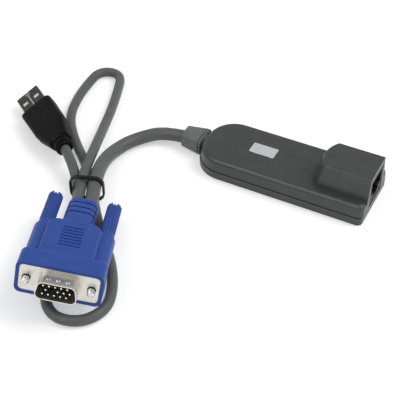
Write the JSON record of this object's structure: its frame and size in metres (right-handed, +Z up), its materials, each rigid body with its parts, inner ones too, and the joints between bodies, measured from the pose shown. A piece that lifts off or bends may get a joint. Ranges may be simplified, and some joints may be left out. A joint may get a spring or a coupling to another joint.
{
  "type": "kvm interface adapter",
  "caption": "Adapter case with a network socket at one end and a video plug and a USB plug on cables at the other, for switching a computer console.",
  "frame": {"origin": "middle of the case's underside, on the surface the part lies on", "axes": "+X along the case to its network socket, +Y to the back of the case, +Z up"},
  "size_m": [0.1743, 0.1545, 0.0263],
  "materials": {
    "case_plastic": "satin, fine moulded grain",
    "board_laminate": "satin solder mask",
    "chip_resin": "matte",
    "can_metal": "satin",
    "crystal_can": "satin",
    "header_plastic": "satin",
    "socket_plastic": "satin",
    "shield_steel": "bright tinned",
    "contact_gold": "bright plated",
    "cable_sheath": "satin, soft",
    "boot_rubber": "satin",
    "tie_black": "satin",
    "hood_blue": "satin moulded",
    "shell_nickel": "bright nickel",
    "core_black": "satin",
    "jack_steel": "bright nickel",
    "grip_black": "satin, fine grain",
    "tongue_white": "satin"
  },
  "bodies": {
    "adapter": {"lower_cover": "case_plastic", "upper_cover": "case_plastic", "circuit_board": "board_laminate", "controller_chip": "chip_resin", "video_buffer": "chip_resin", "clock_crystal": "crystal_can", "board_capacitors": "can_metal", "cable_header": "header_plastic", "socket_body": "socket_plastic", "socket_shield": "shield_steel", "socket_contacts": "contact_gold", "cable_boot": "boot_rubber", "video_cable": "cable_sheath", "usb_cable": "cable_sheath", "cable_tie": "tie_black", "video_hood": "hood_blue", "video_shell": "shell_nickel", "video_insulator": "core_black", "video_pins": "contact_gold", "usb_grip": "grip_black", "usb_shell": "shell_nickel", "usb_tongue": "tongue_white", "usb_contacts": "contact_gold"},
    "left_thumbscrew": {"left_knob": "hood_blue", "left_jackscrew": "jack_steel"},
    "right_thumbscrew": {"right_knob": "hood_blue", "right_jackscrew": "jack_steel"}
  },
  "joints": [
    {"name": "left_thumbscrew_turn", "type": "hinge", "parent": "adapter", "child": "left_thumbscrew", "pos_m": [-0.05699, -0.11715, 0.01862], "axis": [0.3643, -0.9206, 0.1406], "continuous": true},
    {"name": "right_thumbscrew_turn", "type": "hinge", "parent": "adapter", "child": "right_thumbscrew", "pos_m": [-0.03387, -0.10863, 0.01444], "axis": [0.3643, -0.9206, 0.1406], "continuous": true}
  ]
}
